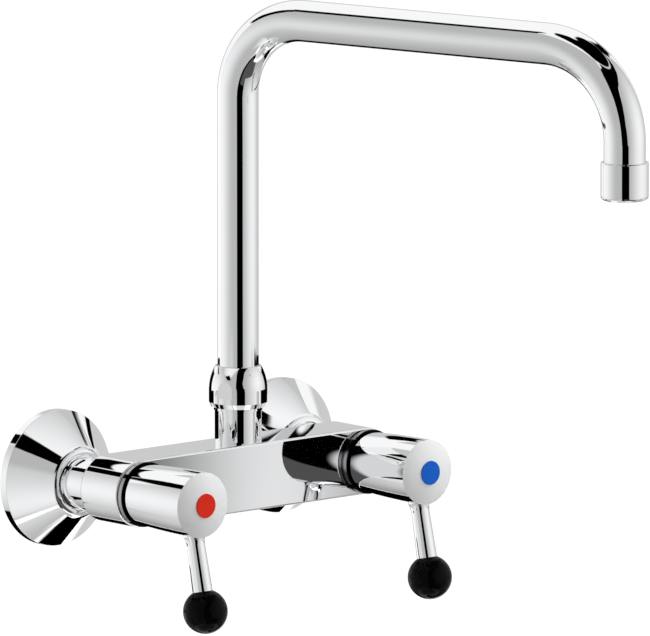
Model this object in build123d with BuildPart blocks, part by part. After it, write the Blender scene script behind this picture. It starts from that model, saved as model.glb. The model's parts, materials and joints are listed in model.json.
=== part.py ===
from build123d import *
import os
from math import cos, radians, sin, sqrt

# Wall-mounted two-handle mixer tap with a swivelling swan-neck spout.
# The wall is the plane Y = 0, the tap stands out of it towards -Y, and +Z is up.
# The origin lies on the wall, midway between the hot inlet (-X) and the cold inlet (+X).
# "Out" is a distance from the wall, "height" a distance above the inlet axes.

# Clearances
running_gap = 0.05  # pieces that turn on each other
thread_gap = 0.1  # screwed or brazed pieces
slip_gap = 0.3  # covers and rings that slide on by hand

# Inlets: flanged connector with a G 1/2 tail for the wall, gasket and round union nut
inlet_spacing = 150.0
wall_thread_r = 10.4775
wall_thread_length = 14.0
wall_thread_chamfer = 1.2
wall_thread_relief = 0.5
inlet_bore_r = 7.0
flange_step = 1.0
flange_t = 3.0
gasket_t = 2.0
tail_length = 12.0
union_nut_wall = 1.9
union_nut_lip = 3.0
union_nut_edge = 0.8

# Wall rose
rose_r = 34.5
rose_rim = 4.5
rose_rim_edge = 0.4
rose_wall = 1.0
rose_depth = 23.5
rose_lip = 2.9
rose_lip_round = 5.5

# Body: a round-ended bar with a bored boss at each end and the outlet neck on top
body_back = 40.5
body_depth = 28.5
boss_r = 17.0
body_front_edge = 1.0
body_back_edge = 1.8
waterway_r = 5.5
seat_hole_r = 6.0
cartridge_depth = 21.5

# Ceramic headwork
cartridge_r = 10.4
cartridge_wall = 1.7
cartridge_skirt = 1.0
cartridge_hex_flats = 21.0
cartridge_hex_t = 2.9
cartridge_sleeve_r = 8.0
cartridge_sleeve_length = 11.7
seal_t = 2.5
disc_t = 3.0
port_r = 4.6
port_width = 4.0
port_arc = 30.0
flow_room = 2.4
window_width = 8.0
stem_r = 5.0
driver_t = 1.5
tang_width = 4.0
tang_length = 14.0
tang_bite = 1.5
drive_flats = 7.0
o_ring_section_r = 0.8
o_ring_room = 0.3
stem_groove_from_driver = 6.0

# Trim ring between body and handle
trim_step = 0.6
trim_lip_t = 1.2
trim_groove = 0.9
trim_groove_depth = 1.0
trim_recess = 0.8

# Handle
handle_gap = 0.5
handle_length = 41.4
handle_back_r = 15.3
handle_front_r = 16.5
handle_bulge = 0.35
handle_wall = 1.8
handle_edge = 0.5
handle_web = 12.5
hub_wall = 2.5
hub_gap = 2.0
screw_r = 2.0
screw_length = 12.0
screw_head_r = 4.0
screw_head_t = 3.0
screw_slot_width = 1.0
screw_slot_depth = 1.2
screw_floor = 3.3
screw_well = 6.0

# End cap and index dot
cap_recess = 2.5
cap_seat = 1.5
cap_skirt_wall = 1.5
cap_crown = 2.9
cap_top_t = 2.4
dot_r = 6.1
dot_t = 0.9
dot_proud = 0.15
dot_edge = 0.1

# Lever and ball
lever_tilt = 12.4
lever_root = 9.5
lever_reach = 54.6
lever_neck_r = 5.5
lever_rod_r = 4.6
lever_end_r = 5.1
lever_neck_length = 4.5
lever_stud_r = 2.5
lever_stud_depth = 8.0
knob_r = 11.2
knob_stud_depth = 9.0

# Spout: swan-neck tube on a turned spigot, held in the neck by a barrel-shaped nut
spout_from_back = 15.7
spout_rest_angle = 14.5  # of the arm at rest, from straight out towards the cold side
tube_r = 10.5
tube_wall = 1.2
arm_height = 233.5
arm_reach = 231.5
riser_bend_r = 40.0
outlet_bend_r = 46.0
outlet_drop = 74.3
neck_step = 1.3
neck_height = 28.0
neck_wall = 2.55
neck_lead = 0.8
slip_ring_t = 1.45
spigot_flange_t = 3.5
spigot_length = 18.5
spigot_bore_r = 6.0
spigot_sleeve = 10.0
spout_ring_count = 2
spout_ring_pitch = 6.0
spout_ring_from_end = 4.0
socket_room = 1.0
spout_nut_height = 22.4
spout_nut_wall = 2.85
spout_nut_top_wall = 0.8
spout_nut_lip = 4.2
spout_nut_foot = 1.6
spout_nut_foot_step = 0.45
spout_nut_chamfer = 2.4
spout_nut_chamfer_in = 1.2
spout_nut_straight = 6.5
wrench_flat_depth = 0.55
wrench_flat_from_foot = 7.0
wrench_flat_angle = 69.0

# Aerator
aerator_step = 1.5
aerator_length = 19.0
aerator_grip = 9.5
aerator_lip = 1.5
aerator_mouth_r = 9.0
aerator_foot_edge = 2.2
aerator_top_edge = 0.6
washer_t = 1.5
washer_reach = 1.2
vane_count = 6
vane_t = 0.8
vane_hub_r = 3.5
insert_rim = 1.2

# Radii that follow from the fits
connector_neck_r = wall_thread_r - wall_thread_relief
connector_flange_r = wall_thread_r + flange_step
union_bore_r = connector_flange_r + slip_gap
tail_r = union_bore_r - thread_gap
union_nut_r = union_bore_r + union_nut_wall
union_lip_r = wall_thread_r + slip_gap
rose_mouth_r = union_nut_r + slip_gap
cartridge_bore_r = cartridge_r + thread_gap
cavity_r = cartridge_r - cartridge_wall
disc_r = cavity_r - running_gap
stem_bore_r = stem_r + running_gap
trim_r = boss_r - trim_step
hex_corner_r = cartridge_hex_flats / sqrt(3)
cap_skirt_r = handle_front_r - cap_seat
neck_r = tube_r + neck_step
neck_bore_r = neck_r - neck_wall
spigot_r = neck_bore_r - running_gap
spout_nut_bore_r = neck_r + thread_gap
spout_nut_r = spout_nut_bore_r + spout_nut_wall
aerator_r = tube_r + aerator_step

# Distances out from the wall, following one another along each inlet axis
tail_end = body_back - tail_length
flange_front = tail_end - gasket_t
flange_back = flange_front - flange_t
union_nut_back = flange_back - union_nut_lip
body_front = body_back + body_depth
seat_out = body_front - cartridge_depth
fixed_disc_out = seat_out + seal_t
turning_disc_out = fixed_disc_out + disc_t + running_gap
turning_top = turning_disc_out + disc_t
driver_out = turning_top + flow_room
driver_top = driver_out + driver_t
cavity_top = driver_top + running_gap
hex_back = body_front + trim_lip_t
hex_front = hex_back + cartridge_hex_t
sleeve_front = hex_front + cartridge_sleeve_length
handle_back = hex_front + handle_gap
handle_front = handle_back + handle_length
web_front = handle_front - cap_recess
web_back = web_front - handle_web
screw_seat = web_front - screw_well
socket_floor = screw_seat - screw_floor
drive_front = socket_floor - slip_gap
hub_back = sleeve_front + hub_gap
lever_out = handle_front - lever_root
spout_out = body_back + spout_from_back

# Heights, following one another up the spout axis
neck_top = boss_r + neck_height
spigot_flange_z = neck_top + slip_ring_t + running_gap
tube_foot = spigot_flange_z + spigot_flange_t
upper_ring_z = tube_foot + running_gap
nut_lip_z = upper_ring_z + slip_ring_t
nut_top = nut_lip_z + spout_nut_lip
nut_foot = nut_top - spout_nut_height
spigot_end = spigot_flange_z - spigot_length
socket_floor_z = spigot_end - socket_room
outlet_z = arm_height - outlet_drop
tube_end = outlet_z + aerator_length - aerator_grip


def out_plane(x, out):
    """Plane across an inlet axis at a distance out from the wall, facing the user."""
    return Plane(origin=(x, -out, 0), x_dir=(1, 0, 0), z_dir=(0, -1, 0))


def lathe_plane(x):
    """Plane through an inlet axis, with coordinates radius and distance out."""
    return Plane(origin=(x, 0, 0), x_dir=(1, 0, 0), z_dir=(0, 0, -1))


def lathe_axis(x):
    """An inlet axis, pointing out of the wall."""
    return Axis((x, 0, 0), (0, -1, 0))


def ring(plane, outer_r, inner_r, thickness):
    """Flat ring that stands on a plane."""
    with BuildPart() as flat_ring:
        with BuildSketch(plane):
            Circle(outer_r)
            Circle(inner_r, mode=Mode.SUBTRACT)
        extrude(amount=thickness)
    return flat_ring.part


def wall_rose(x):
    """Thin bell-shaped cover: narrow rim on the wall, cone, and rounded lip round the union nut."""
    with BuildPart() as rose:
        with BuildSketch(lathe_plane(x)):
            with BuildLine():
                FilletPolyline(
                    (rose_r, 0),
                    (rose_r, rose_rim),
                    (rose_mouth_r + rose_lip, rose_depth),
                    (rose_mouth_r, rose_depth),
                    radius=(rose_rim_edge, rose_lip_round),
                )
                offset(amount=rose_wall, side=Side.LEFT)
            make_face()
        revolve(axis=lathe_axis(x))
    return rose.part


def inlet_connector(x):
    """Tail with the wall thread, relieved neck, and the flange that the union nut pulls on."""
    with BuildPart() as connector:
        with BuildSketch(out_plane(x, -wall_thread_length)):
            Circle(wall_thread_r)
        extrude(amount=wall_thread_length)
        chamfer(connector.edges().sort_by(Axis.Y)[-1], length=wall_thread_chamfer)
        with BuildSketch(out_plane(x, 0)):
            Circle(connector_neck_r)
        extrude(amount=flange_back)
        with BuildSketch(out_plane(x, flange_back)):
            Circle(connector_flange_r)
        extrude(amount=flange_t)
        with BuildSketch(out_plane(x, -wall_thread_length)):
            Circle(inlet_bore_r)
        extrude(amount=wall_thread_length + flange_front, mode=Mode.SUBTRACT)
    return connector.part


def union_nut(x):
    """Round nut: the lip at its back holds the connector's flange, its bore screws on the body."""
    with BuildPart() as nut:
        with BuildSketch(out_plane(x, union_nut_back)):
            Circle(union_nut_r)
        extrude(amount=body_back - slip_gap - union_nut_back)
        fillet(nut.edges(), radius=union_nut_edge)
        with BuildSketch(out_plane(x, union_nut_back)):
            Circle(union_lip_r)
        extrude(amount=union_nut_lip, mode=Mode.SUBTRACT)
        with BuildSketch(out_plane(x, flange_back)):
            Circle(union_bore_r)
        extrude(amount=body_back - flange_back, mode=Mode.SUBTRACT)
    return nut.part


def body_casting():
    """Round-ended bar with inlet tails, headwork bores, cross waterway and outlet neck."""
    side_xs = (-inlet_spacing / 2, inlet_spacing / 2)
    neck_plane = Plane(origin=(0, -spout_out, 0))
    with BuildPart() as body:
        with BuildSketch(out_plane(0, body_back)):
            SlotCenterToCenter(inlet_spacing, 2 * boss_r)
        extrude(amount=body_depth)
        fillet(body.edges().group_by(Axis.Y)[0], radius=body_front_edge)
        fillet(body.edges().group_by(Axis.Y)[-1], radius=body_back_edge)
        with BuildSketch(neck_plane):
            Circle(neck_r)
        extrude(amount=neck_top)
        chamfer(body.edges().group_by(Axis.Z)[-1], length=neck_lead)
        for x in side_xs:
            with BuildSketch(out_plane(x, tail_end)):
                Circle(tail_r)
            extrude(amount=tail_length)
            with BuildSketch(out_plane(x, tail_end)):
                Circle(seat_hole_r)
            extrude(amount=seat_out - tail_end, mode=Mode.SUBTRACT)
            with BuildSketch(out_plane(x, seat_out)):
                Circle(cartridge_bore_r)
            extrude(amount=cartridge_depth, mode=Mode.SUBTRACT)
        with BuildSketch(Plane(origin=(side_xs[0], -spout_out, 0), z_dir=(1, 0, 0))):
            Circle(waterway_r)
        extrude(amount=inlet_spacing, mode=Mode.SUBTRACT)
        with BuildSketch(neck_plane):
            Circle(waterway_r)
        extrude(amount=neck_top, mode=Mode.SUBTRACT)
        with BuildSketch(neck_plane.offset(socket_floor_z)):
            Circle(neck_bore_r)
        extrude(amount=neck_top - socket_floor_z, mode=Mode.SUBTRACT)
    return body.part


def cartridge_body(x):
    """Brass headwork body: open skirt over the discs, hexagon, and sleeve for the stem."""
    skirt_out = seat_out + cartridge_skirt
    with BuildPart() as cartridge:
        with BuildSketch(out_plane(x, skirt_out)):
            Circle(cartridge_r)
        extrude(amount=hex_back - skirt_out)
        with BuildSketch(out_plane(x, hex_back)):
            RegularPolygon(cartridge_hex_flats / 2, 6, major_radius=False)
        extrude(amount=cartridge_hex_t)
        with BuildSketch(out_plane(x, hex_front)):
            Circle(cartridge_sleeve_r)
        extrude(amount=cartridge_sleeve_length)
        with BuildSketch(out_plane(x, skirt_out)):
            Circle(cavity_r)
        extrude(amount=cavity_top - skirt_out, mode=Mode.SUBTRACT)
        with BuildSketch(out_plane(x, cavity_top)):
            Circle(stem_bore_r)
        extrude(amount=sleeve_front - cavity_top, mode=Mode.SUBTRACT)
        with BuildSketch(out_plane(x, turning_top)):
            Rectangle(2 * cartridge_bore_r, window_width)
        extrude(amount=cavity_top - turning_top, mode=Mode.SUBTRACT)
    return cartridge.part


def ported_disc(x, out, port_angle):
    """Ceramic disc with two curved ports, centred on the given angle and opposite it."""
    with BuildPart() as disc:
        with BuildSketch(out_plane(x, out)):
            Circle(disc_r)
            for centre in (port_angle, port_angle + 180):
                SlotArc(
                    CenterArc((0, 0), port_r, centre - port_arc / 2, port_arc),
                    port_width,
                    mode=Mode.SUBTRACT,
                )
        extrude(amount=disc_t)
    return disc.part


def fixed_disc(x):
    """Lower disc, with its ports above and below the axis."""
    return ported_disc(x, fixed_disc_out, port_angle=90)


def turning_disc(x):
    """Upper disc: a quarter turn from the lower one when closed, with a slot for the tang."""
    blank = ported_disc(x, turning_disc_out, port_angle=0)
    with BuildPart() as disc:
        add(blank)
        with BuildSketch(out_plane(x, turning_top - tang_bite)):
            Rectangle(tang_width + 2 * thread_gap, tang_length + 2 * thread_gap)
        extrude(amount=tang_bite, mode=Mode.SUBTRACT)
    return disc.part


def spindle(x):
    """Tang, driver plate, round stem with an O-ring groove, square drive and tapped end."""
    groove_out = driver_top + stem_groove_from_driver
    groove_width = 2 * o_ring_section_r + o_ring_room
    stem_front = sleeve_front + hub_gap / 2
    tang_tip = turning_top - tang_bite + running_gap
    with BuildPart() as stem:
        with BuildSketch(out_plane(x, tang_tip)):
            Rectangle(tang_width, tang_length)
        extrude(amount=driver_out - tang_tip)
        with BuildSketch(out_plane(x, driver_out)):
            Circle(disc_r)
        extrude(amount=driver_t)
        with BuildSketch(out_plane(x, driver_top)):
            Circle(stem_r)
        extrude(amount=stem_front - driver_top)
        with BuildSketch(out_plane(x, stem_front)):
            Rectangle(drive_flats, drive_flats)
        extrude(amount=drive_front - stem_front)
        with BuildSketch(out_plane(x, groove_out)):
            Circle(stem_bore_r)
            Circle(stem_r - 2 * o_ring_section_r, mode=Mode.SUBTRACT)
        extrude(amount=groove_width, mode=Mode.SUBTRACT)
        with BuildSketch(out_plane(x, screw_seat - screw_length - thread_gap)):
            Circle(screw_r + thread_gap)
        extrude(amount=screw_length, mode=Mode.SUBTRACT)
    return stem.part


def spindle_o_ring(x):
    """O-ring in the stem's groove."""
    groove_out = driver_top + stem_groove_from_driver
    middle = groove_out + o_ring_section_r + o_ring_room / 2
    with BuildPart() as o_ring:
        with BuildSketch(lathe_plane(x)):
            with Locations((stem_r - o_ring_section_r, middle)):
                Circle(o_ring_section_r - running_gap)
        revolve(axis=lathe_axis(x))
    return o_ring.part


def trim_ring(x):
    """Ring in line with the body, clamped by the headwork's hexagon, with a groove at each side."""
    front = hex_front - trim_recess
    waist_r = trim_r - trim_groove_depth
    with BuildPart() as trim:
        with BuildSketch(lathe_plane(x)):
            with BuildLine():
                Polyline(
                    (cartridge_bore_r, body_front),
                    (waist_r, body_front),
                    (waist_r, body_front + trim_groove),
                    (trim_r, body_front + trim_groove),
                    (trim_r, front),
                    (hex_corner_r + slip_gap, front),
                    (hex_corner_r + slip_gap, hex_back),
                    (cartridge_bore_r, hex_back),
                    close=True,
                )
            make_face()
        revolve(axis=lathe_axis(x))
    return trim.part


def handle_blank(x, allowance=0.0):
    """Solid of the handle's outside: a sleeve that swells a little and widens to the front."""
    middle_r = (handle_back_r + handle_front_r) / 2 + handle_bulge + allowance
    middle_out = (handle_back + handle_front) / 2
    with BuildPart() as blank:
        with BuildSketch(lathe_plane(x)):
            with BuildLine():
                Line((0, handle_back), (handle_back_r + allowance, handle_back))
                ThreePointArc(
                    (handle_back_r + allowance, handle_back),
                    (middle_r, middle_out),
                    (handle_front_r + allowance, handle_front),
                )
                Polyline(
                    (handle_front_r + allowance, handle_front),
                    (0, handle_front),
                    (0, handle_back),
                )
            make_face()
        revolve(axis=lathe_axis(x))
    return blank.part


def lever_plane(x):
    """Plane through a lever's axis, with coordinates radius and distance from the handle's axis."""
    tilt = radians(lever_tilt)
    return Plane(origin=(x, -lever_out, 0), x_dir=(1, 0, 0), z_dir=(0, cos(tilt), -sin(tilt)))


def lever_axis(x):
    """A lever's axis, pointing down and out."""
    plane = lever_plane(x)
    return Axis(plane.origin, plane.y_dir)


def lever_cross_plane(x, distance):
    """Plane across a lever's axis, facing away from the handle."""
    plane = lever_plane(x)
    return Plane(origin=plane.origin + plane.y_dir * distance, x_dir=(1, 0, 0), z_dir=plane.y_dir)


def handle(x):
    """Hollow sleeve with a front web and a hub that takes the spindle's square."""
    blank = handle_blank(x)
    hub_r = drive_flats / sqrt(2) + hub_wall
    socket = drive_flats + 2 * running_gap
    with BuildPart() as sleeve:
        add(blank)
        fillet(sleeve.edges().group_by(Axis.Y)[-1], radius=handle_edge)
        with BuildSketch(out_plane(x, handle_back)):
            Circle(handle_back_r - handle_wall)
        extrude(amount=hub_back - handle_back, mode=Mode.SUBTRACT)
        with BuildSketch(out_plane(x, hub_back)):
            Circle(handle_back_r - handle_wall)
            Circle(hub_r, mode=Mode.SUBTRACT)
        extrude(amount=web_back - hub_back, mode=Mode.SUBTRACT)
        with BuildSketch(out_plane(x, hub_back)):
            Rectangle(socket, socket)
        extrude(amount=socket_floor - hub_back, mode=Mode.SUBTRACT)
        with BuildSketch(out_plane(x, socket_floor)):
            Circle(screw_r + slip_gap)
        extrude(amount=screw_floor, mode=Mode.SUBTRACT)
        with BuildSketch(out_plane(x, screw_seat)):
            Circle(screw_head_r + slip_gap)
        extrude(amount=screw_well, mode=Mode.SUBTRACT)
        with BuildSketch(out_plane(x, web_front)):
            Circle(cap_skirt_r + running_gap)
        extrude(amount=cap_recess, mode=Mode.SUBTRACT)
        with BuildSketch(lever_cross_plane(x, lever_stud_depth)):
            Circle(lever_stud_r + thread_gap)
        extrude(amount=handle_front_r, mode=Mode.SUBTRACT)
    return sleeve.part


def handle_screw(x):
    """Slotted cheese-head screw that holds the handle on the spindle."""
    with BuildPart() as screw:
        with BuildSketch(out_plane(x, screw_seat)):
            Circle(screw_head_r)
        extrude(amount=screw_head_t)
        with BuildSketch(out_plane(x, screw_seat - screw_length)):
            Circle(screw_r)
        extrude(amount=screw_length)
        with BuildSketch(out_plane(x, screw_seat + screw_head_t - screw_slot_depth)):
            Rectangle(2 * screw_head_r, screw_slot_width)
        extrude(amount=screw_slot_depth, mode=Mode.SUBTRACT)
    return screw.part


def end_cap(x):
    """Domed cap with a skirt that clips into the handle and a recess for the dot."""
    apex = handle_front + cap_crown
    dome_r = (handle_front_r**2 + cap_crown**2) / (2 * cap_crown)
    half_rim = handle_front_r / 2
    dome_at_half = apex - dome_r + sqrt(dome_r**2 - half_rim**2)
    skirt_back = web_front + thread_gap
    skirt_bore_r = cap_skirt_r - cap_skirt_wall
    with BuildPart() as cap:
        with BuildSketch(lathe_plane(x)):
            with BuildLine():
                ThreePointArc((0, apex), (half_rim, dome_at_half), (handle_front_r, handle_front))
                Polyline(
                    (handle_front_r, handle_front),
                    (cap_skirt_r, handle_front),
                    (cap_skirt_r, skirt_back),
                    (skirt_bore_r, skirt_back),
                    (skirt_bore_r, apex - cap_top_t),
                    (0, apex - cap_top_t),
                    (0, apex),
                )
            make_face()
        revolve(axis=lathe_axis(x))
        with BuildSketch(out_plane(x, apex + dot_proud - dot_t)):
            Circle(dot_r + running_gap)
        extrude(amount=dot_t, mode=Mode.SUBTRACT)
    return cap.part


def index_dot(x):
    """Round coloured dot let into the cap."""
    with BuildPart() as dot:
        with BuildSketch(out_plane(x, handle_front + cap_crown + dot_proud - dot_t)):
            Circle(dot_r)
        extrude(amount=dot_t)
        fillet(dot.edges().group_by(Axis.Y)[0], radius=dot_edge)
    return dot.part


def lever_rod(x):
    """Rod with a flared neck fitted to the handle's curve, and a screwed stud at each end."""
    knob_seat = lever_reach - sqrt(knob_r**2 - lever_end_r**2)
    neck_start = handle_back_r - handle_wall
    neck_foot = handle_front_r / cos(radians(lever_tilt))
    neck_end = neck_foot + lever_neck_length
    seat_cut = handle_blank(x, allowance=running_gap)
    with BuildPart() as rod:
        with BuildSketch(lever_plane(x)):
            with BuildLine():
                Polyline((0, neck_start), (lever_neck_r, neck_start), (lever_neck_r, neck_foot))
                TangentArc(
                    (lever_rod_r, neck_end),
                    (lever_neck_r, neck_foot),
                    tangent=(0, -1),
                    tangent_from_first=True,
                )
                Polyline(
                    (lever_rod_r, neck_end),
                    (lever_end_r, knob_seat),
                    (0, knob_seat),
                    (0, neck_start),
                )
            make_face()
        revolve(axis=lever_axis(x))
        add(seat_cut, mode=Mode.SUBTRACT)
        with BuildSketch(lever_cross_plane(x, lever_stud_depth + thread_gap)):
            Circle(lever_stud_r)
        extrude(amount=knob_seat - lever_stud_depth)
        with BuildSketch(lever_cross_plane(x, knob_seat)):
            Circle(lever_stud_r)
        extrude(amount=knob_stud_depth)
    return rod.part


def ball_knob(x):
    """Ball with a flat seat and a blind hole for the rod's stud."""
    knob_seat = lever_reach - sqrt(knob_r**2 - lever_end_r**2)
    hole_r = lever_stud_r + thread_gap
    hole_end = knob_seat + knob_stud_depth + slip_gap
    with BuildPart() as knob:
        with BuildSketch(lever_plane(x)):
            with BuildLine():
                Line((hole_r, knob_seat), (lever_end_r, knob_seat))
                ThreePointArc(
                    (lever_end_r, knob_seat),
                    (knob_r, lever_reach),
                    (0, lever_reach + knob_r),
                )
                Polyline(
                    (0, lever_reach + knob_r),
                    (0, hole_end),
                    (hole_r, hole_end),
                    (hole_r, knob_seat),
                )
            make_face()
        revolve(axis=lever_axis(x))
    return knob.part


def side_pieces(x):
    """All the pieces on one inlet axis, by name."""
    return {
        "wall_rose": wall_rose(x),
        "inlet_connector": inlet_connector(x),
        "inlet_gasket": ring(out_plane(x, flange_front), connector_flange_r, inlet_bore_r, gasket_t),
        "union_nut": union_nut(x),
        "cartridge_body": cartridge_body(x),
        "seat_seal": ring(out_plane(x, seat_out), disc_r, seat_hole_r, seal_t),
        "fixed_disc": fixed_disc(x),
        "turning_disc": turning_disc(x),
        "spindle": spindle(x),
        "spindle_o_ring": spindle_o_ring(x),
        "trim_ring": trim_ring(x),
        "handle": handle(x),
        "handle_screw": handle_screw(x),
        "end_cap": end_cap(x),
        "index_dot": index_dot(x),
        "lever_rod": lever_rod(x),
        "ball_knob": ball_knob(x),
    }


def spout_level(height):
    """Horizontal plane centred on the riser at a height."""
    return Plane(origin=(0, -spout_out, height))


def arm_direction():
    """Unit vector along the spout's arm at rest."""
    angle = radians(spout_rest_angle)
    return Vector(sin(angle), -cos(angle), 0)


def outlet_level(height):
    """Horizontal plane centred on the outlet at a height."""
    return Plane(origin=Vector(0, -spout_out, height) + arm_direction() * arm_reach)


def spout_spigot():
    """Turned end of the spout: sleeve brazed into the tube, flange, and tail with two grooves."""
    groove_width = 2 * o_ring_section_r + o_ring_room
    tube_bore_r = tube_r - tube_wall
    with BuildPart() as spigot:
        with BuildSketch(spout_level(spigot_end)):
            Circle(spigot_r)
        extrude(amount=spigot_length)
        with BuildSketch(spout_level(spigot_flange_z)):
            Circle(spout_nut_bore_r - slip_gap)
        extrude(amount=spigot_flange_t)
        with BuildSketch(spout_level(tube_foot)):
            Circle(tube_bore_r - running_gap)
        extrude(amount=spigot_sleeve)
        with BuildSketch(spout_level(spigot_end)):
            Circle(spigot_bore_r)
        extrude(amount=spigot_length + spigot_flange_t + spigot_sleeve, mode=Mode.SUBTRACT)
        for index in range(spout_ring_count):
            groove_z = spigot_end + spout_ring_from_end + index * spout_ring_pitch
            with BuildSketch(spout_level(groove_z)):
                Circle(neck_bore_r)
                Circle(spigot_r - 2 * o_ring_section_r, mode=Mode.SUBTRACT)
            extrude(amount=groove_width, mode=Mode.SUBTRACT)
    return spigot.part


def spout_o_rings():
    """The O-rings on the spigot's tail."""
    first = spigot_end + spout_ring_from_end + o_ring_section_r + o_ring_room / 2
    riser_plane = Plane(origin=(0, -spout_out, 0), x_dir=(1, 0, 0), z_dir=(0, -1, 0))
    with BuildPart() as o_rings:
        with BuildSketch(riser_plane):
            for index in range(spout_ring_count):
                with Locations((spigot_r - o_ring_section_r, first + index * spout_ring_pitch)):
                    Circle(o_ring_section_r - running_gap)
        revolve(axis=Axis((0, -spout_out, 0), (0, 0, 1)))
    return o_rings.part


def spout_nut():
    """Barrel-shaped nut with an inward lip at the top, a short foot and two wrench flats."""
    foot_r = spout_nut_bore_r + spout_nut_foot_step
    lip_hole_r = tube_r + slip_gap
    top_r = lip_hole_r + spout_nut_top_wall
    shoulder = nut_foot + spout_nut_foot
    belly_start = shoulder + spout_nut_chamfer
    belly_end = belly_start + spout_nut_straight
    riser_plane = Plane(origin=(0, -spout_out, 0), x_dir=(1, 0, 0), z_dir=(0, -1, 0))
    with BuildPart() as nut:
        with BuildSketch(riser_plane):
            with BuildLine():
                Polyline(
                    (lip_hole_r, nut_top),
                    (lip_hole_r, nut_lip_z),
                    (spout_nut_bore_r, nut_lip_z),
                    (spout_nut_bore_r, nut_foot),
                    (foot_r, nut_foot),
                    (foot_r, shoulder),
                    (spout_nut_r - spout_nut_chamfer_in, shoulder),
                    (spout_nut_r, belly_start),
                    (spout_nut_r, belly_end),
                )
                TangentArc(
                    (spout_nut_r, belly_end),
                    (top_r, nut_top),
                    tangent=(0, 1),
                )
                Line((top_r, nut_top), (lip_hole_r, nut_top))
            make_face()
        revolve(axis=Axis((0, -spout_out, 0), (0, 0, 1)))
        for turn in (0, 180):
            angle = radians(wrench_flat_angle + turn)
            facing = Vector(-sin(angle), -cos(angle), 0)
            centre = Vector(0, -spout_out, 0) + facing * (spout_nut_r - wrench_flat_depth)
            flat_from = nut_foot + wrench_flat_from_foot
            with BuildSketch(Plane(origin=centre, x_dir=(0, 0, 1), z_dir=facing)):
                with Locations(((flat_from + nut_top) / 2, 0)):
                    Rectangle(nut_top - flat_from, 2 * spout_nut_r)
            extrude(amount=spout_nut_r, mode=Mode.SUBTRACT)
    return nut.part


def spout_tube():
    """Tube bent as riser, long arm and short drop."""
    arm = arm_direction()
    arm_plane = Plane(origin=(0, -spout_out, 0), x_dir=arm, z_dir=(arm.Y, -arm.X, 0))
    with BuildPart() as tube:
        with BuildLine(arm_plane) as route:
            FilletPolyline(
                (0, tube_foot),
                (0, arm_height),
                (arm_reach, arm_height),
                (arm_reach, tube_end),
                radius=(riser_bend_r, outlet_bend_r),
            )
        with BuildSketch(spout_level(tube_foot)):
            Circle(tube_r)
            Circle(tube_r - tube_wall, mode=Mode.SUBTRACT)
        sweep(path=route.wires()[0])
    return tube.part


def aerator_housing():
    """Sleeve screwed on the tube's end, with a lip that carries the insert."""
    with BuildPart() as housing:
        with BuildSketch(outlet_level(outlet_z)):
            Circle(aerator_r)
        extrude(amount=aerator_length)
        fillet(housing.edges().group_by(Axis.Z)[0], radius=aerator_foot_edge)
        fillet(housing.edges().group_by(Axis.Z)[-1], radius=aerator_top_edge)
        with BuildSketch(outlet_level(outlet_z)):
            Circle(aerator_mouth_r)
        extrude(amount=aerator_length, mode=Mode.SUBTRACT)
        with BuildSketch(outlet_level(outlet_z + aerator_lip)):
            Circle(tube_r + thread_gap)
        extrude(amount=aerator_length - aerator_lip, mode=Mode.SUBTRACT)
    return housing.part


def flow_insert():
    """Flow straightener: a rim, a hub ring and radial vanes between them."""
    rim_r = tube_r - slip_gap
    with BuildPart() as insert:
        with BuildSketch(outlet_level(outlet_z + aerator_lip)):
            Circle(rim_r)
            Circle(rim_r - insert_rim, mode=Mode.SUBTRACT)
            with PolarLocations((vane_hub_r + rim_r - insert_rim / 2) / 2, vane_count):
                Rectangle(rim_r - insert_rim / 2 - vane_hub_r, vane_t)
            Circle(vane_hub_r + vane_t / 2)
            Circle(vane_hub_r - vane_t / 2, mode=Mode.SUBTRACT)
        extrude(amount=tube_end - washer_t - outlet_z - aerator_lip)
    return insert.part


def middle_pieces():
    """The body, the swivel and the spout, by name."""
    ring_r = spout_nut_bore_r - thread_gap
    washer_bore_r = tube_r - tube_wall - washer_reach
    return {
        "body_casting": body_casting(),
        "lower_slip_ring": ring(spout_level(neck_top), ring_r, spigot_r + slip_gap, slip_ring_t),
        "upper_slip_ring": ring(spout_level(upper_ring_z), ring_r, tube_r + slip_gap, slip_ring_t),
        "spout_nut": spout_nut(),
        "spout_spigot": spout_spigot(),
        "spout_o_rings": spout_o_rings(),
        "spout_tube": spout_tube(),
        "aerator_washer": ring(
            outlet_level(tube_end - washer_t), tube_r - slip_gap, washer_bore_r, washer_t
        ),
        "flow_insert": flow_insert(),
        "aerator_housing": aerator_housing(),
    }


def save(piece, name):
    """Label a piece and write it as one STEP file."""
    piece.label = name
    export_step(piece, f"parts/{name}.step")


os.makedirs("parts", exist_ok=True)
for piece_name, piece in middle_pieces().items():
    save(piece, piece_name)
for side, side_x in (("hot", -inlet_spacing / 2), ("cold", inlet_spacing / 2)):
    for piece_name, piece in side_pieces(side_x).items():
        save(piece, f"{side}_{piece_name}")
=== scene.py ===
"""Looks of a wall-mounted two-handle mixer tap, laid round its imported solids.

The wall is the plane Y = 0, the tap stands out of it towards -Y, and +Z is up. All sizes are in
metres.
"""

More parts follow.
